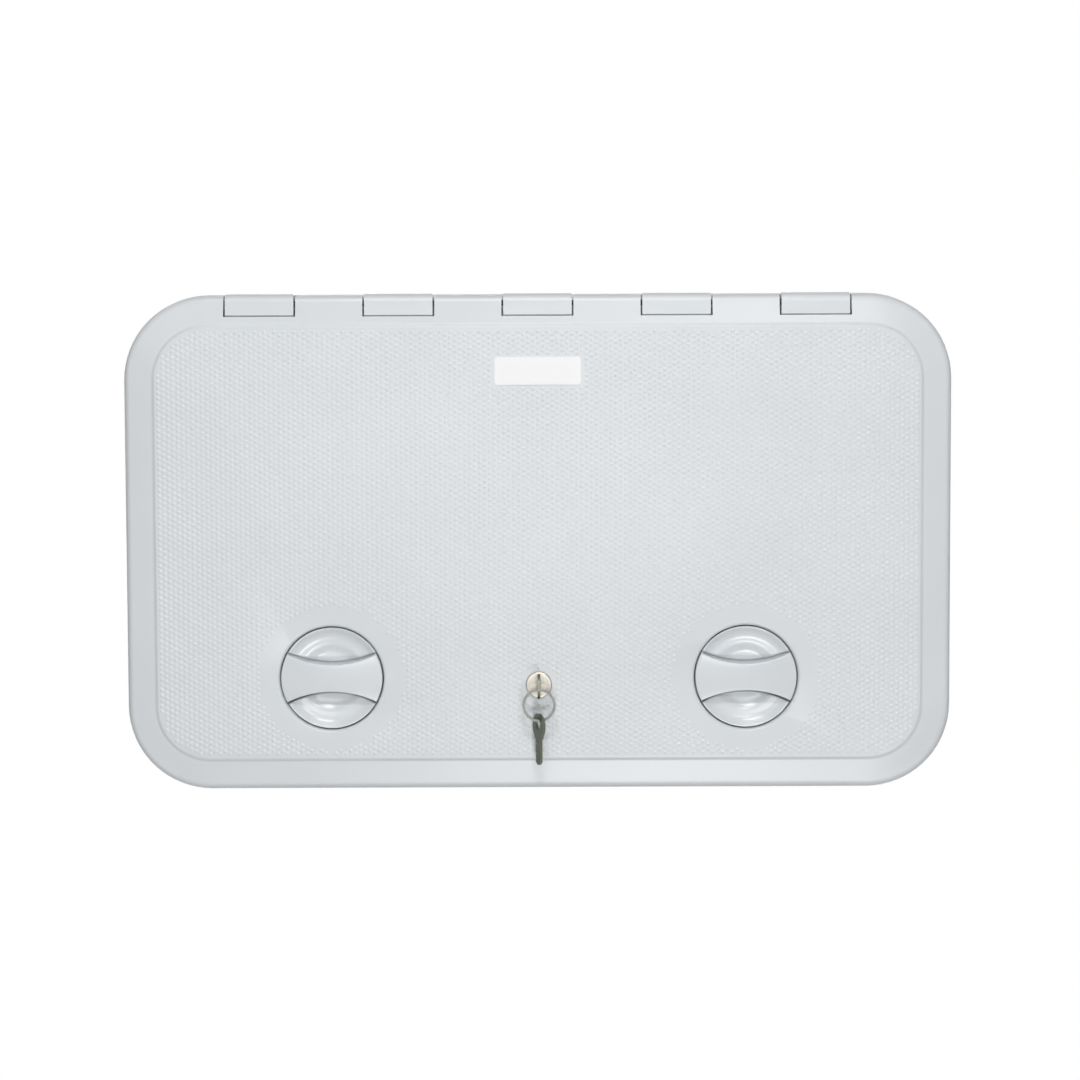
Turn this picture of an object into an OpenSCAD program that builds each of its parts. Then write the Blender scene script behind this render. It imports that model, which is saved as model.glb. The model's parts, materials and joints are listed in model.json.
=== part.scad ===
// Top-hung access hatch for a caravan wall: a flanged frame with a hinged lid,
// two quarter-turn latches, and a cam lock with its key, split ring and spare key.
// X runs along the wall, Z is up, and the front faces -Y. The origin is the middle
// of the opening, on the plane where the flange meets the wall.

/* [Overall] */
// Width of the frame flange
hatch_w = 600; // [560:5:720]
// Height of the frame flange
hatch_h = 360; // [340:5:460]
// Corner radius of the frame flange
corner_r = 62; // [56:1:70]

/* [Frame] */
// Thickness of the flange
flange_t = 3; // [2.5:0.1:4]
// Radius on the flange's visible edge
flange_edge_r = 2; // [1:0.1:2.4]
// Distance from the flange's edge to the collar that enters the wall
collar_inset = 30; // [28:0.5:33]
// Thickness of the collar and the upstand
collar_t = 2.5; // [2:0.1:3]
// Depth of the collar behind the wall's face
collar_depth = 28; // [14:1:45]
// Reach of the lip that the latches hook behind
lip_reach = 5.5; // [4.5:0.1:6.5]
// Height of the upstand above the flange
upstand_h = 8; // [6:0.1:8.6]
// Diameter of a fixing screw hole
screw_hole_d = 4.5; // [3.5:0.1:5]
// Diameter of the countersink
screw_sink_d = 8.6; // [7:0.1:9]
// Distance from the flange's edge to the screw holes
screw_inset = 20.5; // [20:0.5:22]
// Spacing of the inner pairs of holes at top and bottom
inner_screw_pitch = 100; // [92:1:108]
// Spacing of the outer pairs of holes at top and bottom
outer_screw_pitch = 300; // [292:1:308]
// Spacing of the holes on each side
side_screw_pitch = 140; // [80:5:180]

/* [Hinge] */
// Number of hinge lugs on the frame
lug_count = 5; // [3:2:5]
// Spacing of the lugs
lug_pitch = 100; // [96:1:104]
// Width of one lug
lug_w = 49.2; // [40:0.1:54]
// Gap beside and below each lug
lug_gap = 1.3; // [0.8:0.1:1.5]
// Outside radius of the lug's lower half about the hinge axis
lug_r = 11; // [10:0.1:11.4]
// Diameter of the hinge rod
rod_d = 4; // [3:0.1:5]
// Clearance between the rod and the lid's knuckles, on the radius
rod_clearance = 0.1; // [0.05:0.01:0.2]

/* [Lid] */
// Visible edge of the frame round the lid
lid_inset = 1.2; // [0.8:0.1:1.6]
// Gap between the lid's skirt and the flange
lid_gap = 1; // [0.8:0.1:1.4]
// Wall thickness of the lid
lid_wall = 2.5; // [2:0.1:2.8]
// Radius of the lid's outer edge
edge_r = 5.6; // [5:0.1:6.2]
// Width of the plain border
border_w = 20.3; // [19:0.1:21]
// Slope of the border up towards the panel, in degrees
border_slope = 9; // [4:0.5:11]
// Radius of both curves of the step up to the panel
step_r = 3.2; // [2.4:0.1:3.4]
// Steepest slope of that step, in degrees
step_slope = 40; // [30:1:44]
// Thickness of the ribs behind the lid
rib_t = 1.8; // [1.4:0.1:2.2]
// Depth of the stiffening ribs
rib_depth = 6; // [4:0.1:6.5]
// Width of the foam seal
seal_w = 8; // [6:0.1:8.5]
// Gap left between the seal and the upstand
seal_gap = 0.3; // [0.3:0.05:0.6]
// Width of the blank name plate
label_w = 62; // [40:1:80]
// Height of the blank name plate
label_h = 20; // [12:1:26]
// Thickness of the blank name plate
label_t = 0.8; // [0.5:0.1:1.2]
// Distance from the flange's top edge to the middle of the name plate
label_drop = 56; // [50:1:70]

/* [Latches] */
// Spacing of the two latches
latch_pitch = 300; // [280:1:310]
// Height of the latches above the flange's lower edge
latch_up = 82.5; // [82:0.1:84]
// Diameter of the turning grip
grip_d = 73.2; // [70:0.1:74]
// Gap round the grip
grip_gap = 1.1; // [0.6:0.1:1.3]
// Radius on the rim of the lid's hole
rim_r = 2.2; // [1:0.1:2.4]
// Height of the grip bar at its waist
bar_waist = 19.6; // [16:0.1:24]
// Radius of the bar's hollow sides
bar_hollow_r = 72; // [60:1:90]
// Radius of the crown across the grip bar
bar_crown_r = 320; // [240:5:400]
// Height of the bar's middle above the panel
bar_proud = 1.5; // [1:0.1:2]
// Radius along the foot of the bar
bar_foot_r = 3.2; // [2:0.1:3.4]
// Depth of the grip's rim below the panel
grip_sink = 2.6; // [2.2:0.1:3]
// Depth of the outer dish below the panel
dish_depth = 7.2; // [6.6:0.1:7.6]
// Radius of the outer dish's curve
dish_r = 9; // [7:0.1:10]
// Depth of the inner well below the panel
well_depth = 10.6; // [10.2:0.1:11]
// Diameter of the inner well's floor
well_d = 40; // [36:0.5:42]
// Wall thickness of the cup behind the grip
cup_t = 2.2; // [1.8:0.1:2.4]
// Diameter of the grip's spindle
spindle_d = 16; // [12:0.1:18]
// Length of a latch tongue from the spindle's axis
tongue_reach = 48.5; // [47:0.1:49.5]
// Width of a latch tongue at its tip
tongue_w = 16; // [12:0.5:18]
// Thickness of a latch tongue
tongue_t = 4.5; // [3.5:0.1:6]

/* [Lock] */
// Height of the lock above the flange's lower edge
lock_up = 77.5; // [76:0.1:79]
// Diameter of the lock's bezel
bezel_d = 19; // [18:0.1:22]
// Diameter of the lock's barrel
barrel_d = 16; // [15:0.1:17]
// Diameter of the turning plug
plug_d = 12.6; // [11:0.1:13]
// Length of the lock's cam from the plug's axis
cam_reach = 43.5; // [42:0.1:44.5]
// Width of the lock's cam
cam_w = 14; // [12:0.5:18]
// Thickness of the lock's cam
cam_t = 2.2; // [1.5:0.1:3]

/* [Keys] */
// Width and length of a key's bow
bow_d = 18; // [16:0.5:22]
// Thickness of a key
key_t = 1.9; // [1.5:0.1:2]
// Height of a key's blade
blade_h = 7.2; // [6:0.1:7.6]
// Length of a key's blade
blade_l = 19; // [17:0.1:19.4]
// Diameter of the hole in a key's bow
eye_d = 8; // [7.4:0.1:8.5]
// Outside diameter of the split ring
ring_d = 24; // [22:0.5:30]
// Radial width of the split ring's wire
wire_w = 1.8; // [1.4:0.1:2]
// Clearance of the ring in a key's eye, on the radius
eye_clearance = 0.3; // [0.2:0.05:0.5]
// Turn of the spare key about the vertical
spare_turn = 25; // [0:1:30]

/* [Hidden] */
$fn = 96;
// Overshoot of a cut past the face it opens
past = 1;
// Gap between flat faces that slide on each other
slide = 0.1;
// Gap round a part that is fixed in its seat
seat = 0.05;

// Heights above the wall's face
lid_low = flange_t + lid_gap;
axis_h = lid_low + edge_r;
upstand_top = flange_t + upstand_h;
// Curves that run into each other cross by this much
cross = 0.03;
// To a hundredth, so that faces which meet share the same number
function rounded(x) = round(x * 100) / 100;
// Height of the border's outside, for face 1, or of its inside, for face -1
function border_height(x, face) = axis_h + edge_r - lid_wall / 2 + (x - edge_r) * tan(border_slope) + face * lid_wall / 2 / cos(border_slope);
border_in = border_height(border_w, 1);
step_w = step_r * (2 * sin(step_slope) - sin(border_slope));
step_rise = step_r * (1 + cos(border_slope) - 2 * cos(step_slope));
step_end = rounded(border_w + step_w);
panel_top = rounded(border_in + step_rise);
panel_under = panel_top - lid_wall;

// Lid outline
lid_w = hatch_w - 2 * lid_inset;
lid_h = hatch_h - 2 * lid_inset;
lid_r = corner_r - lid_inset;
sweep_in = step_end + 0.4;

// Hinge axis
axis_z = hatch_h / 2 - lid_inset - edge_r;
knuckle_end = lid_w / 2 - lid_r;
lug_crown_r = edge_r + lid_inset;
swing_relief = 0.15;

// Seal and ribs, as insets from the flange's edge
seal_mid = collar_inset + collar_t / 2;
seal_rib_h = 4.4;
rib_field = seal_mid + seal_w / 2 + rib_t;
rib_low = panel_under - rib_depth;
rib_rows = [60, 0];
rib_columns = 7;

// Latch places
latch_z = latch_up - hatch_h / 2;
cup_r = grip_d / 2 + grip_gap;
cup_floor_low = 1.2;
cup_floor_top = cup_floor_low + cup_t;
cup_boss_r = spindle_d / 2 + 4;
grip_low = cup_floor_top + 0.4;
grip_rim_w = 0.4;
dish_floor = panel_top - well_depth;
well_foot_r = 5.2;
lip_r = 2.6;
grip_rim = panel_top - grip_sink;
washer_t = 0.9;
washer_low = cup_floor_low - slide - washer_t;
tongue_hub_low = washer_low - 6.5;
tongue_front = -0.7;
tongue_hub_r = 12;
tongue_ramp = 9;
tongue_ramp_slope = 12;
square_w = 9;
screw_d = 4;
screw_length = 12;
screw_head_d = 10;
screw_head_t = 2.6;

// Lock places
lock_z = lock_up - hatch_h / 2;
bezel_t = 2.3;
bezel_top = panel_top + bezel_t;
barrel_low = 0.4;
lock_pad_t = 2.5;
nut_t = 4;
nut_flats = 22;
nut_reach = nut_flats / 2 / cos(30);
plug_face = bezel_top + 0.4;
cam_front = -0.6;
cam_square = 7;
cam_screw_t = 2.4;
cam_screw_d = 9;

// Keys and ring
keyway_w = key_t + 0.3;
keyway_h = blade_h + 0.4;
shoulder_h = plug_face + 0.4;
eye_from_end = 3.5 + eye_d / 2;
eye_h = shoulder_h + bow_d - eye_from_end;
coil_t = 1.1;
coil_gap = 0.15;
ring_t = 2 * coil_t + coil_gap;
wire_mid_r = ring_d / 2 - wire_w / 2;
// How far the spare key's eye lies from the ring's wire, for a wire of this half width
function wire_drop(half) = sqrt(pow(eye_d / 2 - eye_clearance, 2) - half * half) - wire_w / 2;
ring_top_z = lock_z - (eye_d / 2 - eye_clearance - norm([ring_t, wire_w]) / 2);
ring_mid_z = ring_top_z - wire_mid_r;
skew_half = ring_t / 2 / cos(spare_turn) + key_t / 2 * tan(spare_turn);
spare_eye_z = ring_mid_z - wire_mid_r - wire_drop(skew_half);

// Stands a piece upright: drawn lying on its back with its front up, it turns to face -Y
module upright() rotate([90, 0, 0]) children();

// Rounded rectangle, centred
module round_rect(w, h, r) {
    square([w - 2 * r, h], center = true);
    square([w, h - 2 * r], center = true);
    for (x = [-1, 1], y = [-1, 1]) translate([x * (w / 2 - r), y * (h / 2 - r)]) circle(r);
}

// The flange's outline, drawn in by an inset
module inset_outline(inset) round_rect(hatch_w - 2 * inset, hatch_h - 2 * inset, corner_r - inset);

// Band between two insets from the flange's edge, from one height to another
module band(outer, inner, low, high)
    translate([0, 0, low]) linear_extrude(high - low) difference() {
        inset_outline(outer);
        inset_outline(inner);
    }

// One straight run of a swept profile. The profile is drawn inwards from the edge.
module straight_run(reach, length)
    translate([reach, length / 2, 0]) rotate([90, 0, 0]) linear_extrude(length)
        mirror([1, 0]) children();

// Sweeps a profile round the corners, the bottom and the sides of a rounded rectangle
module sweep_sides(w, h, r) {
    for (turn = [0, 180]) rotate(turn) straight_run(w / 2, h - 2 * r) children();
    rotate(-90) straight_run(h / 2, w - 2 * r) children();
    for (x = [-1, 1], y = [-1, 1])
        translate([x * (w / 2 - r), y * (h / 2 - r), 0])
            rotate(x > 0 ? (y > 0 ? 0 : -90) : (y > 0 ? 90 : 180))
                rotate_extrude(angle = 90) translate([r, 0]) mirror([1, 0]) children();
}

// A cylinder along the hinge axis
module along_hinge(r, length, x = 0)
    translate([x, axis_z, axis_h]) rotate([0, 90, 0]) cylinder(r = r, h = length, center = true);

// Calls its children at each lug
module at_lugs() for (i = [0 : lug_count - 1]) translate([(i - (lug_count - 1) / 2) * lug_pitch, 0, 0]) children();

// Places of the fixing screws
function screw_places() = concat(
    [for (x = [-1, 1], z = [-1, 1]) [x * inner_screw_pitch / 2, z * (hatch_h / 2 - screw_inset)]],
    [for (x = [-1, 1], z = [-1, 1]) [x * outer_screw_pitch / 2, z * (hatch_h / 2 - screw_inset)]],
    [for (x = [-1, 1], z = [-1, 1]) [x * (hatch_w / 2 - screw_inset), z * side_screw_pitch / 2]]);

// Section of a lug: flush with the flange's edge outside, round about the hinge axis inside
module lug_section() {
    circle(lug_crown_r);
    translate([-lug_r, -axis_h]) square([lug_r + lug_crown_r, axis_h]);
    intersection() {
        circle(lug_r);
        translate([-lug_r, 0]) square([lug_r, lug_crown_r]);
    }
}

module lugs() at_lugs() translate([0, axis_z, axis_h])
    rotate([90, 0, 90]) linear_extrude(lug_w, center = true) lug_section();

// Pocket that cores a lug out from behind
module lug_core() {
    wall = 2.4;
    low = axis_h - rod_d / 2 - wall;
    translate([0, axis_z + (lug_crown_r - lug_r) / 2, low / 2 - past / 2])
        cube([lug_w - 2 * wall, lug_crown_r + lug_r - 2 * wall, low + past], center = true);
}

module mounting_frame() color("#d4d8da") upright() difference() {
    union() {
        difference() {
            band(0, collar_inset + collar_t + lip_reach, 0, flange_t);
            flange_rim_cut();
        }
        band(collar_inset, collar_inset + collar_t, -collar_depth, upstand_top);
        lugs();
    }
    at_lugs() lug_core();
    along_hinge(rod_d / 2 + seat, hatch_w);
    for (p = screw_places()) translate([p.x, p.y, 0]) screw_hole();
}

// What the round on the flange's visible edge takes away
module flange_rim_cut() {
    for (turn = [0, 90, 180, 270]) {
        reach = turn % 180 == 0 ? hatch_w / 2 : hatch_h / 2;
        run = (turn % 180 == 0 ? hatch_h : hatch_w) - 2 * corner_r;
        rotate(turn) straight_run(reach, run) rim_waste();
    }
    for (x = [-1, 1], y = [-1, 1])
        translate([x * (hatch_w / 2 - corner_r), y * (hatch_h / 2 - corner_r), 0])
            rotate(x > 0 ? (y > 0 ? 0 : -90) : (y > 0 ? 90 : 180))
                rotate_extrude(angle = 90) translate([corner_r, 0]) mirror([1, 0]) rim_waste();
}

module rim_waste() difference() {
    translate([-past, flange_t - flange_edge_r]) square([past + flange_edge_r, flange_edge_r + past]);
    translate([flange_edge_r, flange_t - flange_edge_r]) circle(flange_edge_r);
}

module screw_hole() {
    translate([0, 0, -past]) cylinder(d = screw_hole_d, h = flange_t + 2 * past);
    sink = (screw_sink_d - screw_hole_d) / 2;
    translate([0, 0, flange_t - sink]) cylinder(d1 = screw_hole_d, d2 = screw_sink_d, h = sink);
}

module hinge_rod() color("#b9bcbe") upright() along_hinge(rod_d / 2, 2 * knuckle_end - 2);

// Lid shell over the border, drawn inwards from the lid's edge
module border_section() {
    start = edge_r - 2 * (edge_r - lid_wall / 2) * sin(border_slope);
    lean = [-sin(border_slope), cos(border_slope)];
    middle = [step_end - step_r * sin(step_slope), rounded(panel_top - step_r * (1 - cos(step_slope)))];
    translate([edge_r, axis_h]) difference() {
        intersection() {
            circle(edge_r);
            translate([-edge_r - past, 0]) square(edge_r + past);
        }
        circle(edge_r - lid_wall);
    }
    difference() {
        union() {
            polygon([
                [start, border_height(start, 1)], [border_w, border_in], [border_w, middle.y],
                [step_end, middle.y], [step_end, panel_top], [sweep_in, panel_top],
                [sweep_in, panel_under], [step_end, panel_under],
                [border_w, border_height(border_w, -1)], [start, border_height(start, -1)]
            ]);
            intersection() {
                translate([step_end, panel_top - step_r]) circle(step_r);
                translate([middle.x - 0.4, middle.y - 0.3]) square([step_end - middle.x + 0.4, panel_top - middle.y + 0.3]);
            }
        }
        translate([border_w, border_in] + (step_r - cross) * lean) circle(step_r);
    }
}

module skirt_section() {
    border_section();
    translate([0, lid_low]) square([lid_wall, axis_h - lid_low]);
}

module knuckle_section() {
    border_section();
    translate([edge_r, axis_h]) circle(edge_r);
}

// Clears the lid's heel so that its skirt swings past the flange
module heel_cut() difference() {
    translate([-lid_w / 2 - past, axis_z, lid_low - past]) cube([lid_w + 2 * past, hatch_h, axis_h - lid_low + past]);
    along_hinge(edge_r + swing_relief, lid_w + 4 * past);
}

module at_latches() for (side = [-1, 1]) translate([side * latch_pitch / 2, latch_z, 0]) children();

// Ribs that stiffen the panel and tie the cups together
module rib_grid() {
    pitch = latch_pitch / 4;
    linear_extrude(panel_under + lid_wall / 2 - rib_low) intersection() {
        inset_outline(rib_field - rib_t / 2);
        union() {
            for (z = concat(rib_rows, [latch_z])) translate([0, z]) square([hatch_w, rib_t], center = true);
            for (i = [0 : rib_columns - 1])
                translate([(i - (rib_columns - 1) / 2) * pitch, 0]) square([rib_t, hatch_h], center = true);
        }
    }
}

module lid_shell() {
    translate([0, 0, panel_under]) linear_extrude(lid_wall)
        round_rect(lid_w - 2 * sweep_in, lid_h - 2 * sweep_in, lid_r - sweep_in);
    sweep_sides(lid_w, lid_h, lid_r) skirt_section();
    rotate(90) straight_run(lid_h / 2, lid_w - 2 * lid_r) knuckle_section();
}

module lid_panel() color("#d9dde0") upright() difference() {
    union() {
        difference() {
            lid_shell();
            heel_cut();
        }
        translate([0, 0, rib_low]) rib_grid();
        band(seal_mid - seal_w / 2 - rib_t, seal_mid - seal_w / 2, panel_under - seal_rib_h, panel_under + lid_wall / 2);
        band(seal_mid + seal_w / 2, rib_field, panel_under - seal_rib_h, panel_under + lid_wall / 2);
        at_latches() cup();
        translate([0, lock_z, panel_under - lock_pad_t]) cylinder(r = nut_reach + 3, h = lock_pad_t + lid_wall / 2);
    }
    at_lugs() along_hinge(lug_r + lug_gap - 0.2, lug_w + 2 * lug_gap);
    along_hinge(rod_d / 2 + rod_clearance, 2 * knuckle_end + past);
    at_latches() cup_hollow();
    translate([0, lock_z, 0]) cylinder(d = barrel_d + 2 * seat, h = panel_top + past);
    translate([0, lock_z, 0]) cylinder(r = nut_reach + 3, h = panel_under - lock_pad_t);
}

module cup() {
    translate([0, 0, cup_floor_low]) cylinder(r = cup_r + cup_t, h = panel_under + lid_wall / 2 - cup_floor_low);
}

module cup_hollow() {
    translate([0, 0, cup_floor_top]) cylinder(r = cup_r, h = panel_top);
    translate([0, 0, -past]) cylinder(d = spindle_d + 2 * slide, h = cup_floor_top + 2 * past);
    rotate_extrude() difference() {
        translate([cup_r - past, panel_top - rim_r]) square([rim_r + past, rim_r + past]);
        translate([cup_r + rim_r, panel_top - rim_r]) circle(rim_r);
    }
}

module lid_seal() color("#3c3f41") upright()
    band(seal_mid - seal_w / 2, seal_mid + seal_w / 2, upstand_top + seal_gap, panel_under);

module blank_name_plate() color("#f4f5f5") upright()
    translate([0, hatch_h / 2 - label_drop, panel_top]) linear_extrude(label_t) round_rect(label_w, label_h, 2);

// Half section of the grip's blank, with its crowned face
module blank_section() intersection() {
    translate([0, grip_low]) square([grip_d / 2, panel_top + bar_proud + past - grip_low]);
    translate([0, panel_top + bar_proud - bar_crown_r]) circle(bar_crown_r, $fn = 1440);
}

// Half section of the space over the dish: its well, the well's lip, the dish and the rim
module dish_section() {
    ledge_h = panel_top - dish_depth;
    well_r = well_d / 2;
    roof = panel_top + bar_proud + 2 * past;
    wall_slope = acos(1 - (ledge_h - dish_floor) / (lip_r + well_foot_r));
    bend = [well_r + well_foot_r * sin(wall_slope), dish_floor + well_foot_r * (1 - cos(wall_slope))];
    lip = well_r + (well_foot_r + lip_r) * sin(wall_slope);
    mouth = grip_d / 2 - grip_rim_w;
    dish_mid = rounded(mouth - sqrt(dish_r * dish_r - pow(ledge_h + dish_r - grip_rim, 2)));
    translate([0, dish_floor]) square([well_r, roof - dish_floor]);
    intersection() {
        translate([well_r, dish_floor + well_foot_r]) circle(well_foot_r);
        translate([well_r, dish_floor]) square(well_foot_r + past);
    }
    difference() {
        translate([well_r + lip_r, bend.y]) square([lip - well_r - lip_r - 0.1, ledge_h - bend.y]);
        translate([lip, ledge_h - lip_r + cross / 2] - cross / 2 * [sin(wall_slope), 0]) circle(lip_r);
    }
    translate([0, ledge_h]) square([dish_mid, roof - ledge_h]);
    intersection() {
        translate([dish_mid, ledge_h + dish_r]) circle(dish_r);
        translate([dish_mid, ledge_h]) square([dish_r + past, dish_r]);
    }
    translate([0, grip_rim]) square([grip_d / 2 + past, roof - grip_rim]);
}

// Half section of the space beside the bar, about the centre of the bar's hollow side
module bar_side_section() {
    height = panel_top + bar_proud + past - dish_floor;
    inner = bar_hollow_r - grip_d / 2;
    translate([inner, dish_floor]) square([bar_hollow_r - bar_foot_r - inner, height]);
    translate([inner, dish_floor + bar_foot_r]) square([bar_hollow_r - inner, height - bar_foot_r]);
    translate([bar_hollow_r - bar_foot_r, dish_floor + bar_foot_r]) circle(bar_foot_r);
}

module latch_grip() {
    difference() {
        union() {
            rotate_extrude() blank_section();
            translate([0, 0, washer_low]) cylinder(d = spindle_d, h = grip_low - washer_low + 1);
            translate([-square_w / 2, -square_w / 2, tongue_hub_low]) cube([square_w, square_w, washer_low - tongue_hub_low + 1]);
        }
        for (side = [-1, 1]) intersection() {
            rotate_extrude() dish_section();
            translate([0, side * (bar_waist / 2 + bar_hollow_r), 0]) rotate_extrude($fn = 180) bar_side_section();
        }
        translate([0, 0, tongue_hub_low - past]) cylinder(d = screw_d, h = screw_length + past);
    }
}

module latch_washer() translate([0, 0, washer_low]) difference() {
    cylinder(d = spindle_d + 9, h = washer_t);
    translate([0, 0, -past]) cylinder(d = spindle_d + 2 * seat, h = washer_t + 2 * past);
}

// The tongue points along +X when the latch is open
module latch_tongue() difference() {
    union() {
        translate([0, 0, tongue_hub_low]) cylinder(r = tongue_hub_r, h = washer_low - tongue_hub_low);
        translate([0, 0, tongue_front - tongue_t]) linear_extrude(tongue_t) intersection() {
            circle(tongue_reach);
            polygon([for (side = [1, -1], end = side > 0 ? [0, 1] : [1, 0])
                end * [tongue_reach + past, 0] + [0, side * (end ? tongue_w / 2 : tongue_hub_r)]]);
        }
        translate([tongue_hub_r - past, -rib_t / 2, tongue_hub_low])
            cube([tongue_reach - tongue_hub_r - tongue_ramp, rib_t, tongue_front - tongue_hub_low - past]);
    }
    translate([-square_w / 2 - seat, -square_w / 2 - seat, tongue_hub_low - past])
        cube([square_w + 2 * seat, square_w + 2 * seat, washer_low - tongue_hub_low + 2 * past]);
    translate([tongue_reach - tongue_ramp, -tongue_w, tongue_front]) rotate([0, tongue_ramp_slope, 0])
        cube([2 * tongue_ramp, 2 * tongue_w, tongue_t]);
}

module latch_screw() {
    translate([0, 0, tongue_hub_low - screw_head_t]) difference() {
        cylinder(d = screw_head_d, h = screw_head_t);
        for (turn = [0, 90]) rotate(turn) translate([0, 0, 0.4]) cube([5.6, 1.1, 2], center = true);
    }
    translate([0, 0, tongue_hub_low - 0.2]) cylinder(d = screw_d - 2 * seat, h = screw_length - 1);
}

module at_left() upright() translate([-latch_pitch / 2, latch_z, 0]) children();
module at_right() upright() translate([latch_pitch / 2, latch_z, 0]) children();

module left_latch_grip() color("#d9dde0") at_left() latch_grip();
module right_latch_grip() color("#d9dde0") at_right() latch_grip();
module left_latch_washer() color("#2f3133") at_left() latch_washer();
module right_latch_washer() color("#2f3133") at_right() latch_washer();
module left_latch_tongue() color("#c9cdd0") at_left() latch_tongue();
module right_latch_tongue() color("#c9cdd0") at_right() latch_tongue();
module left_latch_screw() color("#b9bcbe") at_left() latch_screw();
module right_latch_screw() color("#b9bcbe") at_right() latch_screw();

module at_lock() upright() translate([0, lock_z, 0]) children();

module lock_barrel() color("#a7a6a2") at_lock() difference() {
    union() {
        rotate_extrude() {
            square([bezel_d / 2 - 1, bezel_top]);
            translate([0, panel_top]) square([bezel_d / 2, bezel_t - 1]);
            translate([bezel_d / 2 - 1, bezel_top - 1]) circle(1);
        }
    }
    difference() {
        translate([0, 0, -past]) cylinder(d = bezel_d + past, h = panel_top + past);
        translate([0, 0, barrel_low]) cylinder(d = barrel_d, h = panel_top);
    }
    translate([0, 0, -past]) cylinder(d = plug_d + 2 * seat, h = bezel_top + 2 * past);
}

module lock_nut() color("#9c9b98") at_lock()
    translate([0, 0, panel_under - lock_pad_t - nut_t]) difference() {
        cylinder(r = nut_reach, h = nut_t, $fn = 6);
        translate([0, 0, -past]) cylinder(d = barrel_d + 2 * seat, h = nut_t + 2 * past);
    }

module lock_plug() color("#8f8e8b") at_lock() difference() {
    union() {
        translate([0, 0, cam_front]) cylinder(d = plug_d, h = plug_face - cam_front);
        translate([-cam_square / 2, -cam_square / 2, cam_front - cam_t]) cube([cam_square, cam_square, cam_t + 1]);
    }
    translate([-keyway_w / 2, -keyway_h / 2, shoulder_h - blade_l - 0.6]) cube([keyway_w, keyway_h, 2 * blade_l]);
    translate([0, 0, cam_front - cam_t - past]) cylinder(d = 3, h = 4);
}

// The cam points along +X when the lock is open
module lock_cam() color("#b9bcbe") at_lock() translate([0, 0, cam_front - cam_t]) linear_extrude(cam_t) difference() {
    union() {
        circle(d = cam_w);
        translate([0, -cam_w / 2]) square([cam_reach - cam_w / 2, cam_w]);
        translate([cam_reach - cam_w / 2, 0]) circle(d = cam_w);
    }
    square(cam_square + 2 * seat, center = true);
}

module lock_cam_screw() color("#9c9b98") at_lock() {
    translate([0, 0, cam_front - cam_t - cam_screw_t]) cylinder(d = cam_screw_d / cos(30), h = cam_screw_t, $fn = 6);
    translate([0, 0, cam_front - cam_t - 0.2]) cylinder(d = 2.9, h = 2.6);
}

// A flat key, drawn with its shoulder at the origin, its blade down -Z and its bow up +Z
module key_plan() {
    bow_r = bow_d / 2;
    difference() {
        union() {
            translate([0, bow_r]) circle(bow_r);
            translate([-bow_r * 0.62, 0]) square([bow_r * 1.24, bow_r]);
            translate([-blade_h / 2, -blade_l + 2]) square([blade_h, blade_l]);
            translate([0, -blade_l + 2]) circle(2);
            polygon([[-blade_h / 2, -blade_l + 2], [-1.2, -blade_l], [1.2, -blade_l], [blade_h / 2, -blade_l + 2]]);
        }
        translate([0, bow_d - eye_from_end]) circle(d = eye_d);
        for (i = [0 : 3]) translate([blade_h / 2 + 0.5, -blade_l + 4.2 + 3.6 * i]) rotate(45) square(1.9 + 0.35 * (i % 2), center = true);
    }
}

module flat_key() rotate([90, 0, 90]) linear_extrude(key_t, center = true) key_plan();

module key_in_lock() color("#8a8883") at_lock() translate([0, 0, shoulder_h]) flat_key();

// Split ring of two flat coils, joined where the wire crosses from one to the other
module split_ring() {
    cross = 34;
    notch = 8;
    web = 0.1;
    for (side = [-1, 1]) rotate(90 - side * cross / 2 + (side < 0 ? notch : 0))
        rotate_extrude(angle = 360 - notch) translate([wire_mid_r - wire_w / 2, side > 0 ? coil_gap / 2 : -coil_gap / 2 - coil_t])
            square([wire_w, coil_t]);
    rotate(90 - cross / 2 + 2) rotate_extrude(angle = cross - 4)
        translate([wire_mid_r, 0]) square([wire_w - 2 * web, coil_gap + 2 * web], center = true);
}

module key_ring() color("#b4b2ac") translate([0, -eye_h, ring_mid_z]) rotate([90, 0, 0]) split_ring();

module spare_key() color("#8a8883") translate([0, -eye_h, spare_eye_z]) rotate(spare_turn)
    translate([0, 0, eye_from_end - bow_d]) flat_key();

mounting_frame();
hinge_rod();
lid_panel();
lid_seal();
blank_name_plate();
lock_barrel();
lock_nut();
left_latch_grip();
left_latch_washer();
left_latch_tongue();
left_latch_screw();
right_latch_grip();
right_latch_washer();
right_latch_tongue();
right_latch_screw();
lock_plug();
lock_cam();
lock_cam_screw();
key_in_lock();
key_ring();
spare_key();
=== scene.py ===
"""The looks of a wall hatch: moulded frame, top-hung pimpled lid, two quarter-turn grips, cam lock, keys."""

import json
import math

import bmesh
import bpy
import numpy as np
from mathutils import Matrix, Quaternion, Vector


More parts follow.
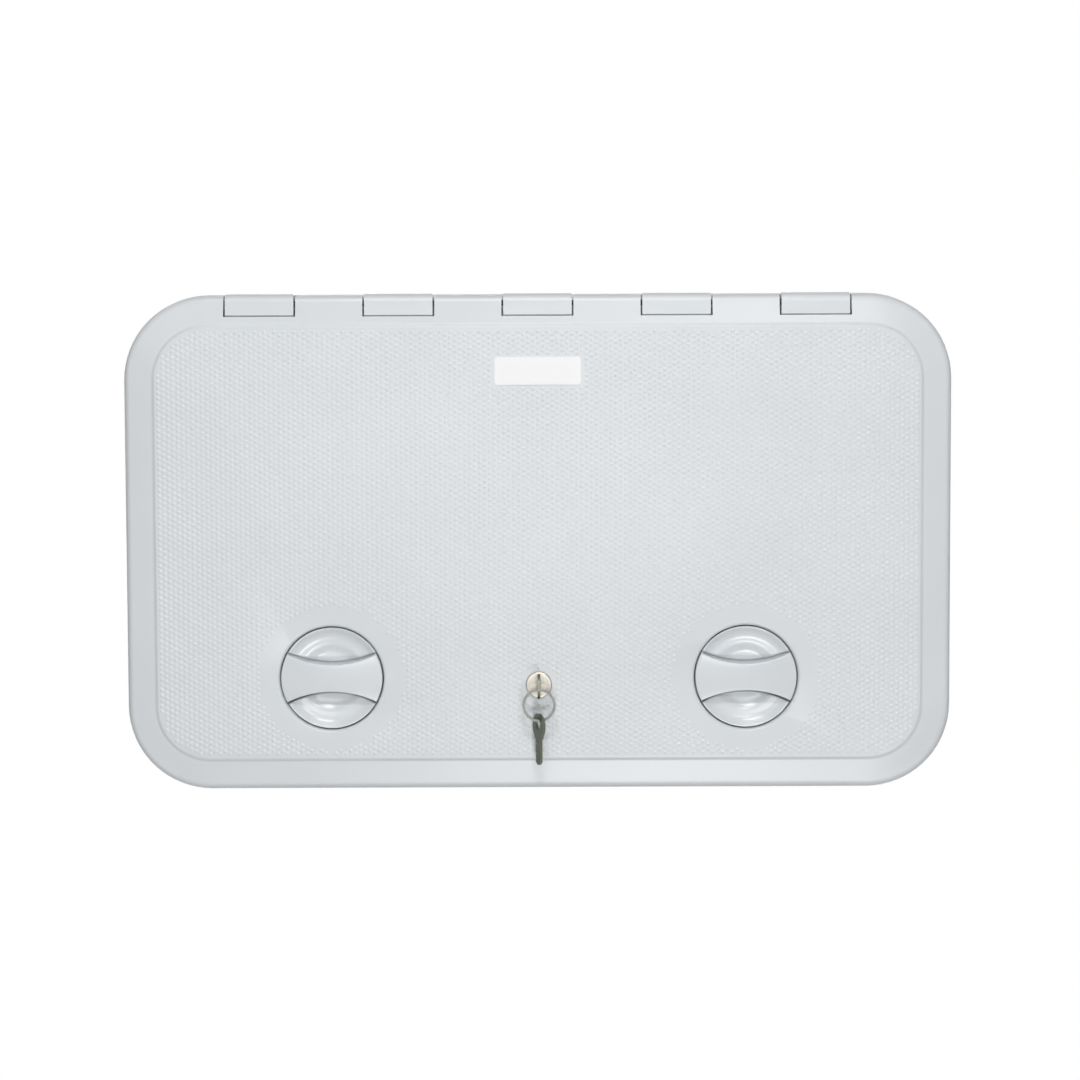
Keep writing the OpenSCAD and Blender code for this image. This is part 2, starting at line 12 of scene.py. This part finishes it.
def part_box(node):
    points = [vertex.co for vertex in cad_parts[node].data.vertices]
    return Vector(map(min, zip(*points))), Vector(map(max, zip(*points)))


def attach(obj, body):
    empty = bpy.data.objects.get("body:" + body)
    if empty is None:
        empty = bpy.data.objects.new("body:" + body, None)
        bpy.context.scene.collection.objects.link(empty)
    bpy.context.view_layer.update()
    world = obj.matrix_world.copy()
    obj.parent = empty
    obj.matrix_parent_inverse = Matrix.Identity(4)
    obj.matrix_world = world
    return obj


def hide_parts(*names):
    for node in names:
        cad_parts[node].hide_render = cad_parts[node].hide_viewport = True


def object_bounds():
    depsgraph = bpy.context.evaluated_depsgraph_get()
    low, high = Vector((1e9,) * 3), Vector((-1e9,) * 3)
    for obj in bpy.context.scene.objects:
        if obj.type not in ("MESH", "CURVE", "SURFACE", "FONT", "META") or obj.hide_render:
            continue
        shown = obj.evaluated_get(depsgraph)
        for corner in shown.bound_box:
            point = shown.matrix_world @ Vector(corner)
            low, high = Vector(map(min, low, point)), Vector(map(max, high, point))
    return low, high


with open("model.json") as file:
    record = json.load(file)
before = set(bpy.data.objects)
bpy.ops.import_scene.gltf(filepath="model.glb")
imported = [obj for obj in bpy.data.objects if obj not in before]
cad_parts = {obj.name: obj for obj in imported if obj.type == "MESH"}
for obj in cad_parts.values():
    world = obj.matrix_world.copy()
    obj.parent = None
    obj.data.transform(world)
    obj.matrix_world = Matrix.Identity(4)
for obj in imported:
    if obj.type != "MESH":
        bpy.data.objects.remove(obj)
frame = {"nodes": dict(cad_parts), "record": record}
cad_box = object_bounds()
nodes = frame["nodes"]

# Studio
# A plain white studio. Soft boxes stand round the front of the wall hatch, one lights its back, and a pale
# floor lies far below, because the real hatch hangs in a wall at hand height.
scene = bpy.context.scene
scene.view_settings.view_transform = "Standard"
LOOK_AT = Vector((0.0012, -0.010, 0.0018))
ROLL = math.radians(0.22)


def facing(place, target):
    """The turn that points an object's own -Z from its place at the target, with its own Y upwards."""
    return (Vector(target) - Vector(place)).to_track_quat("-Z", "Y")


camera = bpy.data.objects.new("camera", bpy.data.cameras.new("camera"))
scene.collection.objects.link(camera)
camera.data.sensor_width = 36.0
camera.data.lens = 69.37
camera.location = (0.0012, -1.5179, 0.0808)
camera.rotation_mode = "QUATERNION"
camera.rotation_quaternion = facing(camera.location, LOOK_AT) @ Quaternion((0, 0, 1), -ROLL)
scene.camera = camera


def softbox(name, place, width, height, watts):
    """A flat rectangular lamp of that width and height in metres, turned to the middle of the hatch."""
    light = bpy.data.lights.new(name, "AREA")
    light.shape = "RECTANGLE"
    light.size, light.size_y, light.energy = width, height, watts
    lamp = bpy.data.objects.new(name, light)
    scene.collection.objects.link(lamp)
    lamp.location = place
    lamp.rotation_mode = "QUATERNION"
    lamp.rotation_quaternion = facing(place, (0, 0, 0))


softbox("front_lamp", (0.0, -2.6, 0.10), 0.9, 0.5, 10)
softbox("high_lamp", (0.0, -1.0, 2.10), 1.6, 0.6, 6)
softbox("upper_lamp", (0.0, -1.768, 1.768), 0.8, 0.3, 19)
softbox("middle_lamp", (0.0, -2.165, 1.25), 0.6, 0.3, 2)
softbox("right_lamp", (0.482, -2.267, 0.937), 0.4, 0.3, 7.5)
softbox("left_lamp", (-1.048, -2.149, 0.731), 0.35, 0.3, 2)
softbox("low_lamp", (0.235, -2.235, -1.096), 0.8, 0.2, 15)
softbox("floor_lamp", (0.0, -1.8, -1.5), 1.2, 0.4, 2)
softbox("back_lamp", (0.0, 2.6, 0.35), 1.2, 0.9, 30)


def seen_as_white(tree):
    """A factor of 1 for rays from the camera, off gloss and through clear things, and 0 for the rest, so
    that a white background lights nothing matt."""
    path = tree.nodes.new("ShaderNodeLightPath")
    factor = path.outputs["Is Camera Ray"]
    for ray in ("Is Glossy Ray", "Is Transmission Ray"):
        either = tree.nodes.new("ShaderNodeMath")
        either.operation = "MAXIMUM"
        tree.links.new(factor, either.inputs[0])
        tree.links.new(path.outputs[ray], either.inputs[1])
        factor = either.outputs[0]
    return factor


world = bpy.data.worlds.new("studio")
scene.world = world
world.use_nodes = True
sky = world.node_tree.nodes["Background"]
sky.inputs["Color"].default_value = (1, 1, 1, 1)
world.node_tree.links.new(seen_as_white(world.node_tree), sky.inputs["Strength"])

FLOOR_Z, FLOOR_BACK, FLOOR_SIZE = -1.75, 2.5, 12.0
FLOOR_WHITE, FLOOR_GREY, FLOOR_ROUGH = 0.95, 0.60, 0.9
floor_paint = bpy.data.materials.new("pale_floor")
floor_paint.use_nodes = True
paint = floor_paint.node_tree
shader = paint.nodes["Principled BSDF"]
shader.inputs["Base Color"].default_value = (FLOOR_GREY, FLOOR_GREY, FLOOR_GREY, 1)
shader.inputs["Roughness"].default_value = FLOOR_ROUGH
shader.inputs["Emission Color"].default_value = (1, 1, 1, 1)
glow = paint.nodes.new("ShaderNodeMath")
glow.operation = "MULTIPLY"
glow.inputs[1].default_value = FLOOR_WHITE
paint.links.new(seen_as_white(paint), glow.inputs[0])
paint.links.new(glow.outputs[0], shader.inputs["Emission Strength"])
floor_mesh = bpy.data.meshes.new("floor")
half, front = FLOOR_SIZE / 2, FLOOR_BACK - FLOOR_SIZE
corners = [(-half, front), (half, front), (half, FLOOR_BACK), (-half, FLOOR_BACK)]
floor_mesh.from_pydata([(x, y, FLOOR_Z) for x, y in corners], [], [(0, 1, 2, 3)])
floor_mesh.materials.append(floor_paint)
floor = bpy.data.objects.new("floor", floor_mesh)
scene.collection.objects.link(floor)

# Mounting frame
# One injection moulding in light grey plastic: the flange that is screwed to the wall, the collar that
# enters the cut-out, the upstand that the seal presses on, and five lugs that hold the hinge rod.
GRAIN_PER_METRE, CLOUD_PER_METRE, FINE_DETAIL, CLOUD_DETAIL = 1800.0, 14.0, 3.0, 2.0


def grain_group():
    """Moulded grain: a fine and a coarse noise in Object coordinates, put out as a height and a cloud."""
    group = bpy.data.node_groups.new("moulded_grain", "ShaderNodeTree")
    face = group.interface
    for label, value in (("Grain per metre", GRAIN_PER_METRE), ("Cloud per metre", CLOUD_PER_METRE)):
        face.new_socket(label, in_out="INPUT", socket_type="NodeSocketFloat").default_value = value
    face.new_socket("Height", in_out="OUTPUT", socket_type="NodeSocketFloat")
    face.new_socket("Cloud", in_out="OUTPUT", socket_type="NodeSocketFloat")
    n = group.nodes
    inp, out = n.new("NodeGroupInput"), n.new("NodeGroupOutput")
    where = n.new("ShaderNodeTexCoord")
    fine, cloud = n.new("ShaderNodeTexNoise"), n.new("ShaderNodeTexNoise")
    fine.inputs["Detail"].default_value = FINE_DETAIL
    cloud.inputs["Detail"].default_value = CLOUD_DETAIL
    for noise, label in ((fine, "Grain per metre"), (cloud, "Cloud per metre")):
        group.links.new(where.outputs["Object"], noise.inputs["Vector"])
        group.links.new(inp.outputs[label], noise.inputs["Scale"])
    group.links.new(fine.outputs["Fac"], out.inputs["Height"])
    group.links.new(cloud.outputs["Fac"], out.inputs["Cloud"])
    return group


GRAIN = grain_group()
ROUGH_SPREAD, RELIEF = 0.05, 0.35


def grained(name, per_metre, strength, bump, rough_by, smoothest, roughest):
    """A new material whose bump follows the fine grain, and whose roughness runs between two values with one
    output of the grain group. Gives the material, its shader and its grain."""
    material = bpy.data.materials.new(name)
    material.use_nodes = True
    tree = material.node_tree
    shader = tree.nodes["Principled BSDF"]
    grain = tree.nodes.new("ShaderNodeGroup")
    grain.node_tree = GRAIN
    grain.inputs["Grain per metre"].default_value = per_metre
    polish = tree.nodes.new("ShaderNodeMapRange")
    polish.inputs["To Min"].default_value = smoothest
    polish.inputs["To Max"].default_value = roughest
    tree.links.new(grain.outputs[rough_by], polish.inputs["Value"])
    tree.links.new(polish.outputs["Result"], shader.inputs["Roughness"])
    relief = tree.nodes.new("ShaderNodeBump")
    relief.inputs["Strength"].default_value = strength
    relief.inputs["Distance"].default_value = bump
    tree.links.new(grain.outputs["Height"], relief.inputs["Height"])
    tree.links.new(relief.outputs["Normal"], shader.inputs["Normal"])
    return material, shader, grain


def moulded_plastic(name, colour, rough, bump, per_metre=GRAIN_PER_METRE, shade=0.04, specular=0.45):
    """Moulded plastic: a colour that clouds by a few percent, with fine grain in bump and roughness."""
    smoothest, roughest = rough - ROUGH_SPREAD, rough + ROUGH_SPREAD
    material, shader, grain = grained(name, per_metre, RELIEF, bump, "Height", smoothest, roughest)
    shader.inputs["Specular IOR Level"].default_value = specular
    tree = material.node_tree
    tone = tree.nodes.new("ShaderNodeMix")
    tone.data_type = "RGBA"
    tone.inputs["A"].default_value = (*[c * (1 - shade) for c in colour], 1)
    tone.inputs["B"].default_value = (*[min(1.0, c * (1 + shade)) for c in colour], 1)
    tree.links.new(grain.outputs["Cloud"], tone.inputs["Factor"])
    tree.links.new(tone.outputs["Result"], shader.inputs["Base Color"])
    return material


CREASE_DEGREES, MERGE = 32.0, 2e-6


def smooth_but_crisp(bm, degrees):
    """Makes every face smooth and keeps the edges crisp whose faces meet at more than that angle."""
    limit = math.radians(degrees)
    for face in bm.faces:
        face.smooth = True
    for edge in bm.edges:
        edge.smooth = not (edge.is_manifold and edge.calc_face_angle(0.0) > limit)


def finish_node(name, material, body, below=None):
    """A merged copy of a CAD node that stands for it: smooth faces, with the edges sharper than the crease
    angle kept crisp. With below, only what lies behind that height from the wall is kept."""
    source = nodes[name]
    mesh = source.data.copy()
    mesh.name = name + "_skin"
    bm = bmesh.new()
    bm.from_mesh(mesh)
    bmesh.ops.remove_doubles(bm, verts=bm.verts, dist=MERGE)
    bmesh.ops.dissolve_degenerate(bm, edges=bm.edges, dist=MERGE / 2)
    if below is not None:
        bmesh.ops.bisect_plane(bm, geom=[*bm.verts, *bm.edges, *bm.faces], plane_co=(0, -below, 0),
                               plane_no=(0, -1, 0), clear_outer=True)
    smooth_but_crisp(bm, CREASE_DEGREES)
    bm.to_mesh(mesh)
    bm.free()
    mesh.materials.clear()
    mesh.materials.append(material)
    piece = bpy.data.objects.new(name + "_skin", mesh)
    scene.collection.objects.link(piece)
    if "custom_normal" in mesh.attributes:
        mesh.attributes.remove(mesh.attributes["custom_normal"])
    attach(piece, body)
    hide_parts(name)


HATCH_GREY = (0.722, 0.752, 0.772)
frame_plastic = moulded_plastic("frame_plastic", HATCH_GREY, 0.31, 0.00004)
finish_node("mounting_frame", frame_plastic, "frame")

# Hinge rod
# A straight 4 mm steel rod, blackened, pushed through the frame's lugs and the lid's knuckles.
METAL_GRAIN, METAL_CLOUD, METAL_BUMP, METAL_RELIEF = 900.0, 160.0, 0.00003, 0.3
POLISHED, DULLED = 0.7, 1.35


def plated_metal(name, colour, rough):
    """Plated metal: full metallic, with clouds in its polish between two shares of its roughness."""
    smoothest, roughest = rough * POLISHED, rough * DULLED
    material, shader, grain = grained(name, METAL_GRAIN, METAL_RELIEF, METAL_BUMP, "Cloud",
                                      smoothest, roughest)
    shader.inputs["Metallic"].default_value = 1.0
    shader.inputs["Base Color"].default_value = (*colour, 1)
    grain.inputs["Cloud per metre"].default_value = METAL_CLOUD
    return material


black_oxide = plated_metal("blackened_steel", (0.045, 0.045, 0.048), 0.5)
finish_node("hinge_rod", black_oxide, "frame")

# Lid
# The same light grey plastic, moulded with a smooth sloping border and a raised panel. The panel is covered
# with small round pimples in a triangular pattern, all moulded in one with it.
lid_plastic = moulded_plastic("lid_plastic", HATCH_GREY, 0.31, 0.00004)
# The pimples are moulded in one with the panel, yet their plastic is a lighter copy of the lid's: a painted
# highlight on the dots.
lightened_pimple_plastic = moulded_plastic("lightened_pimple_plastic", (0.775, 0.798, 0.812), 0.22, 0.00001)
finish_node("lid_panel", lid_plastic, "lid")

joint_at = {joint["name"]: joint["pos_m"] for joint in frame["record"]["behaviour"]["joints"]}
GRIP_X, _, GRIP_Z = joint_at["right_latch_turn"]
LOCK_Z = joint_at["lock_turn"][2]
HATCH_W, HATCH_H = (round(cad_box[1][k] - cad_box[0][k], 4) for k in (0, 2))
plate_low, plate_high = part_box("blank_name_plate")
PLATE_W, PLATE_H = (round(plate_high[k] - plate_low[k], 4) for k in (0, 2))
PLATE_Z = round((plate_low[2] + plate_high[2]) / 2, 4)
PANEL_TOP = 19.0
PANEL_Y = -PANEL_TOP / 1000
HALO_R, LOCK_CLEAR_R, PLATE_CLEAR, PLATE_CORNER = 0.0512, 0.0112, 0.0006, 0.0005
FIELD_INSET, FIELD_R = 0.0265, 0.0350
PIMPLE_COLUMN, PIMPLE_ROW, PIMPLE_R, PIMPLE_RISE = 0.0035, 0.0039, 0.00152, 0.00052
PIMPLE_SIDES, SHOULDER, FALL, SINK = 8, 0.66, 2.6, 0.00004


def inside_round_rect(x, z, half_w, half_h, radius):
    """Distance from points to a rounded rectangle, below zero inside: the length of what is left of the
    point's place beyond the straight sides, less the corner radius."""
    qx, qz = np.abs(x) - (half_w - radius), np.abs(z) - (half_h - radius)
    outer = np.hypot(np.maximum(qx, 0), np.maximum(qz, 0))
    return outer + np.minimum(np.maximum(qx, qz), 0) - radius


def pimple_centres():
    """Every crossing of a triangular lattice, odd columns moved by half a row, in the textured field."""
    columns, rows = int(HATCH_W / 2 / PIMPLE_COLUMN), int(HATCH_H / 2 / PIMPLE_ROW)
    c, r = np.meshgrid(np.arange(-columns, columns + 1), np.arange(-rows, rows + 1))
    x = c * PIMPLE_COLUMN
    z = (r + 0.5 * (c % 2)) * PIMPLE_ROW
    keep = inside_round_rect(x, z, HATCH_W / 2 - FIELD_INSET, HATCH_H / 2 - FIELD_INSET, FIELD_R) < 0
    for side in (-1, 1):
        keep &= np.hypot(x - side * GRIP_X, z - GRIP_Z) > HALO_R + PIMPLE_R
    keep &= np.hypot(x, z - LOCK_Z) > LOCK_CLEAR_R + PIMPLE_R
    half_w, half_h = PLATE_W / 2 + PLATE_CLEAR, PLATE_H / 2 + PLATE_CLEAR
    keep &= inside_round_rect(x, z - PLATE_Z, half_w, half_h, PLATE_CORNER) > PIMPLE_R
    return x[keep], z[keep]


def pimples(name, x, z):
    """Round caps on the panel: two rings and a peak of a flattened dome, whose height is 1 less the share of
    the radius to the power FALL. The outer ring sinks into the panel. The dome is repeated at each centre as
    one array."""
    sides, radii = PIMPLE_SIDES, np.array([1.0, SHOULDER])
    turn = np.arange(sides) * 2 * math.pi / sides
    ring_x = (radii[:, None] * np.cos(turn)).ravel() * PIMPLE_R
    ring_z = (radii[:, None] * np.sin(turn)).ravel() * PIMPLE_R
    rise = np.repeat(1 - radii ** FALL, sides) * PIMPLE_RISE
    rise[:sides] = -SINK
    dome = np.column_stack([np.append(ring_x, 0), -np.append(rise, PIMPLE_RISE), np.append(ring_z, 0)])
    k = np.arange(sides)
    nxt = (k + 1) % sides
    quads = np.column_stack([k, nxt, nxt + sides, k + sides])
    fans = np.column_stack([k + sides, nxt + sides, np.full(sides, 2 * sides)])
    centres = np.column_stack([x, np.full(len(x), PANEL_Y), z])
    points = (centres[:, None, :] + dome[None, :, :]).reshape(-1, 3)
    start = np.arange(len(x))[:, None, None] * len(dome)
    all_quads = (quads[None] + start).reshape(-1, 4)
    all_fans = (fans[None] + start).reshape(-1, 3)
    mesh = bpy.data.meshes.new(name)
    mesh.from_pydata(points.tolist(), [], all_quads.tolist() + all_fans.tolist())
    mesh.polygons.foreach_set("use_smooth", np.ones(len(mesh.polygons), bool))
    mesh.update()
    mesh.materials.append(lightened_pimple_plastic)
    piece = bpy.data.objects.new(name, mesh)
    scene.collection.objects.link(piece)
    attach(piece, "lid")


px, pz = pimple_centres()
for side, pick in (("left", px < 0), ("right", px >= 0)):
    pimples(f"lid_pimples_{side}", px[pick], pz[pick])

# Seal
# A strip of black closed-cell foam stuck inside the lid, which meets the frame's upstand.
foam = moulded_plastic("seal_foam", (0.035, 0.036, 0.038), 0.9, 0.0002, per_metre=900.0, specular=0.2)
finish_node("lid_seal", foam, "lid")

# Blank plate
# A thin plain white plate stuck to the upper middle of the panel.
plate_white = moulded_plastic("plate_white", (0.93, 0.93, 0.93), 0.35, 0.00001, shade=0.01)
finish_node("blank_name_plate", plate_white, "lid")

# Grips
# Two quarter-turn grips, moulded in the same grey plastic, each with a waisted bar across a dished face, and
# a groove along the bar's foot, darkened with painted shade, most of it under the bar. A screw holds the
# tongue and its washer on each grip's shaft.
grip_plastic = moulded_plastic("grip_plastic", HATCH_GREY, 0.22, 0.00002)
# Painted shade: along the crease at the bar's foot the grip's colour is mixed towards a dark grey, fully
# under the bar and by a share above it.
CREASE_AT, CREASE_W, CREASE_DEPTH, PAINTED_SHADE_GREY, PAINTED_SHADE_ABOVE = 0.95, 0.6, 1.6, 0.08, 0.35
shaded_grip_tree = grip_plastic.node_tree
crease = shaded_grip_tree.nodes.new("ShaderNodeAttribute")
crease.attribute_name = "crease"
painted_shade_mix = shaded_grip_tree.nodes.new("ShaderNodeMix")
painted_shade_mix.data_type = "RGBA"
painted_shade_mix.inputs["B"].default_value = (PAINTED_SHADE_GREY, PAINTED_SHADE_GREY, PAINTED_SHADE_GREY, 1)
shaded_grip_tree.links.new(crease.outputs["Fac"], painted_shade_mix.inputs["Factor"])
shaded_grip_tree.links.new(shaded_grip_tree.nodes["Mix"].outputs["Result"], painted_shade_mix.inputs["A"])
shaded_grip_tree.links.new(painted_shade_mix.outputs["Result"], shaded_grip_tree.nodes["Principled BSDF"].inputs["Base Color"])
tongue_plastic = moulded_plastic("tongue_plastic", (0.62, 0.64, 0.65), 0.5, 0.00006)
washer_plastic = moulded_plastic("washer_plastic", (0.05, 0.05, 0.055), 0.5, 0.00003)
zinc = plated_metal("zinc_plated_steel", (0.62, 0.63, 0.64), 0.32)
GRIP_R, WAIST, HOLLOW_R, CROWN_R, BAR_RISE = 36.6, 9.8, 72.0, 320.0, 1.5
BAR_TOP, EDGE_R, FOOT_R, WALL_LEAN, SKIRT_LOW = PANEL_TOP + BAR_RISE, 1.0, 1.3, 0.3, 4.3
DISH_R = [0, 16.5, 19.0, 21.5, 23.6, 25.2, 27.2, 29.4, 31.6, 33.6, 35.2, 36.0, 36.6]
DISH_DEPTH = [10.3, 10.3, 9.95, 8.7, 7.65, 7.25, 7.1, 6.75, 5.9, 4.65, 3.35, 2.7, 2.85]
SMOOTH, FINE_FROM, FINE_TO, FINE_STEP, BELL_REACH = 0.6, -6, 44, 0.02, 90
RIM_R, RIM_DROP, BAR_RIM_R, UPRIGHT = 0.7, 0.35, 0.6, 0.98
COLUMNS, EVEN_SHARE, TOP_ROWS, QUARTER_ROWS, DISH_ROWS, CAP_COLUMNS = 201, 0.65, 5, 7, 32, 15
LEAST_FOOT, FOOT_SHARE, ROOM_SHARE, FADE, RIM_DEGREES = 0.2, 0.85, 0.7, 1.2, 50
END_FROM, END_TRIES = 30, 4001


def dish_height(r):
    """Height of the dished face at radius r, in mm: straight lines between the places listed, smoothed by a
    bell so that the well, its lip and the rim run into each other, and rounded over at the rim."""
    fine = np.linspace(FINE_FROM, FINE_TO, round((FINE_TO - FINE_FROM) / FINE_STEP) + 1)
    level = PANEL_TOP - np.interp(np.abs(fine), DISH_R, DISH_DEPTH)
    bell = np.exp(-0.5 * (np.arange(-BELL_REACH, BELL_REACH + 1) * FINE_STEP / SMOOTH) ** 2)
    level = np.convolve(level, bell / bell.sum(), mode="same")
    edge = np.clip((np.abs(fine) - (GRIP_R - RIM_R)) / RIM_R, 0, 1)
    return np.interp(r, fine, level - RIM_DROP * (1 - np.sqrt(1 - UPRIGHT * edge ** 2)))


def bar_height(r):
    """Height of the bar's crowned top, in mm: a sphere of the crown radius, rounded over at the rim."""
    edge = np.clip((r - (GRIP_R - BAR_RIM_R)) / BAR_RIM_R, 0, 1)
    return BAR_TOP - r ** 2 / (2 * CROWN_R) - BAR_RIM_R * (1 - np.sqrt(1 - UPRIGHT * edge ** 2))


def bar_edge(x):
    """Half width of the waisted bar at x: the waist plus the rise of the hollow side's circle."""
    return WAIST + HOLLOW_R - np.sqrt(HOLLOW_R ** 2 - x ** 2)


def joined(grids):
    """Points and quads of grids of x, y, height and painted shade, each mirrored over the bar's middle line,
    where the lower, mirrored half carries the full painted shade. Each quad joins four neighbours."""
    points, faces, start = [], [], 0
    for grid in grids:
        both = [np.vstack([g[:0:-1] * f, g]) for g, f in zip(grid, (1, -1, 1, 1 / PAINTED_SHADE_ABOVE))]
        rows, columns = both[0].shape
        k = np.arange(rows - 1)[:, None] * columns + np.arange(columns - 1)
        quad = np.stack([k, k + 1, k + columns + 1, k + columns], -1).reshape(-1, 4)
        points.append(np.stack(both, -1).reshape(-1, 4))
        faces.append(quad + start)
        start += rows * columns
    return np.vstack(points), np.vstack(faces)


def grip_face_grid():
    """Points and faces of the grip's face, in mm about its axis. Columns run across x. From the middle out
    the rows are the bar's top, its rounded edge (a quarter circle), its leaning wall, the foot (a quarter
    circle on the dish) and even steps over the dish to the rim, so every row follows the bar's edge. A
    bell-shaped crease runs along the foot, and the fourth value of a point says how much painted shade lies
    there, most of it under the bar, from 0 to 1. Two caps close the bar's ends."""
    trial = np.linspace(END_FROM, GRIP_R, END_TRIES)
    end = trial[np.argmax(bar_edge(trial) >= np.sqrt(np.maximum(GRIP_R ** 2 - trial ** 2, 0)))]
    x = end * np.sin(np.linspace(-1, 1, COLUMNS) * math.pi / 2)
    x = (1 - EVEN_SHARE) * x + EVEN_SHARE * np.linspace(-end, end, COLUMNS)
    edge = bar_edge(x)
    rim = np.sqrt(GRIP_R ** 2 - x ** 2)
    slant = np.sqrt(1 + (x / np.sqrt(HOLLOW_R ** 2 - x ** 2)) ** 2)
    quarter = np.linspace(0, math.pi / 2, QUARTER_ROWS)
    top_in = np.linspace(0, 1, TOP_ROWS)[:, None] * (edge - EDGE_R)
    over = -EDGE_R * (1 - np.sin(quarter[1:]))
    drop = np.concatenate([np.zeros(TOP_ROWS), EDGE_R * (1 - np.cos(quarter[1:]))])[:, None]
    y = np.vstack([top_in, edge + over[:, None]])
    bar_rows = len(y)
    h = bar_height(np.hypot(x, y)) - drop
    foot_r = np.clip(FOOT_SHARE * (h[-1] - dish_height(np.hypot(x, edge + 1))), LEAST_FOOT, FOOT_R)
    room = np.minimum(1, ROOM_SHARE * (rim - edge) / ((WALL_LEAN + foot_r) * slant))
    foot_s = WALL_LEAN + foot_r * (1 - np.cos(quarter[:, None]))
    foot_y = edge + foot_s * slant * room
    foot_h = dish_height(np.hypot(x, foot_y)) + foot_r * (1 - np.sin(quarter[:, None]))
    step = np.linspace(0, 1, DISH_ROWS + 1)[1:, None]
    out_y = foot_y[-1] + step * (rim - foot_y[-1])
    out_h = dish_height(np.hypot(x, out_y))
    # The bell along the foot sinks a real groove, and the same bell, scaled down above the bar, is the
    # painted shade in the crease.
    groove_and_shade = np.exp(-((np.vstack([foot_y, out_y]) - edge) / slant - CREASE_AT) ** 2 / CREASE_W ** 2)
    h = np.vstack([h, np.vstack([foot_h, out_h]) - CREASE_DEPTH * groove_and_shade * room])
    groove_and_shade = np.vstack([np.zeros_like(y), groove_and_shade]) * PAINTED_SHADE_ABOVE
    y = np.vstack([y, foot_y, out_y])
    grids = [(np.broadcast_to(x, y.shape), y, h, groove_and_shade)]
    cap_x = end + (GRIP_R - end) * np.sin(np.linspace(0, 1, CAP_COLUMNS) * math.pi / 2)
    shrink = np.sqrt(np.maximum(GRIP_R ** 2 - cap_x ** 2, 0)) / rim[-1]
    cap_y = y[:bar_rows, -1:] * shrink
    cap_r = np.hypot(cap_x, cap_y)
    rounding = drop * np.clip(1 - (cap_x - end) / FADE, 0, 1)
    cap_h = np.minimum(bar_height(cap_r), BAR_TOP - cap_r ** 2 / (2 * CROWN_R) - rounding)
    for sign in (1, -1):
        wide_x = np.broadcast_to(sign * cap_x, cap_y.shape)
        grids.append((wide_x[:, ::sign], cap_y[:, ::sign], cap_h[:, ::sign], np.zeros_like(cap_h)))
    return joined(grids)


def grip_face(side, material):
    """The grip's face in its place on the lid, with a plain wall round it down to the CAD grip's back."""
    points, faces = grip_face_grid()
    middle = GRIP_X if side == "right" else -GRIP_X
    x, z, h = points[:, 0] / 1000, points[:, 1] / 1000, points[:, 2] / 1000
    place = np.column_stack([middle + x, -h, GRIP_Z + z])
    mesh = bpy.data.meshes.new(side + "_grip_face")
    mesh.from_pydata(place.tolist(), [], faces.tolist())
    # The crease attribute carries the painted shade that darkens the grip's colour along the bar's foot.
    mesh.attributes.new("crease", "FLOAT", "POINT").data.foreach_set("value", points[:, 3])
    bm = bmesh.new()
    bm.from_mesh(mesh)
    bmesh.ops.remove_doubles(bm, verts=bm.verts, dist=MERGE)
    rim_edges = [e for e in bm.edges if e.is_boundary]
    made = bmesh.ops.extrude_edge_only(bm, edges=rim_edges)["geom"]
    for v in made:
        if isinstance(v, bmesh.types.BMVert):
            v.co.y = -SKIRT_LOW / 1000
    bmesh.ops.remove_doubles(bm, verts=bm.verts, dist=MERGE)
    bmesh.ops.dissolve_degenerate(bm, edges=bm.edges, dist=MERGE / 2)
    bmesh.ops.recalc_face_normals(bm, faces=bm.faces)
    if sum(f.normal.y * f.calc_area() for f in bm.faces) > 0:
        bmesh.ops.reverse_faces(bm, faces=bm.faces)
    smooth_but_crisp(bm, RIM_DEGREES)
    bm.to_mesh(mesh)
    bm.free()
    mesh.materials.append(material)
    piece = bpy.data.objects.new(side + "_grip_face", mesh)
    scene.collection.objects.link(piece)
    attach(piece, side + "_latch")


for side in ("left", "right"):
    body = side + "_latch"
    finish_node(f"{side}_latch_grip", grip_plastic, body, below=SKIRT_LOW / 1000)
    grip_face(side, grip_plastic)
    finish_node(f"{side}_latch_tongue", tongue_plastic, body)
    finish_node(f"{side}_latch_washer", washer_plastic, body)
    finish_node(f"{side}_latch_screw", zinc, body)

# Lock
# A nickel-plated cam lock held in the lid by a hexagon nut, with a flat steel cam.
nickel = plated_metal("dull_nickel", (0.37, 0.345, 0.31), 0.28)
for name in ("lock_barrel", "lock_nut"):
    finish_node(name, nickel, "lid")
finish_node("lock_plug", nickel, "lock")
for name in ("lock_cam", "lock_cam_screw"):
    finish_node(name, zinc, "lock")

# Keys and ring
# Two flat keys stamped from nickel-plated brass and worn dull, one in the lock and one hanging from a split
# ring of drawn steel wire.
key_metal = plated_metal("worn_key_nickel", (0.13, 0.14, 0.105), 0.36)
ring_steel = plated_metal("drawn_ring_steel", (0.17, 0.178, 0.165), 0.24)
finish_node("key_in_lock", key_metal, "lock")
finish_node("key_ring", ring_steel, "ring")
finish_node("spare_key", key_metal, "loose_key")
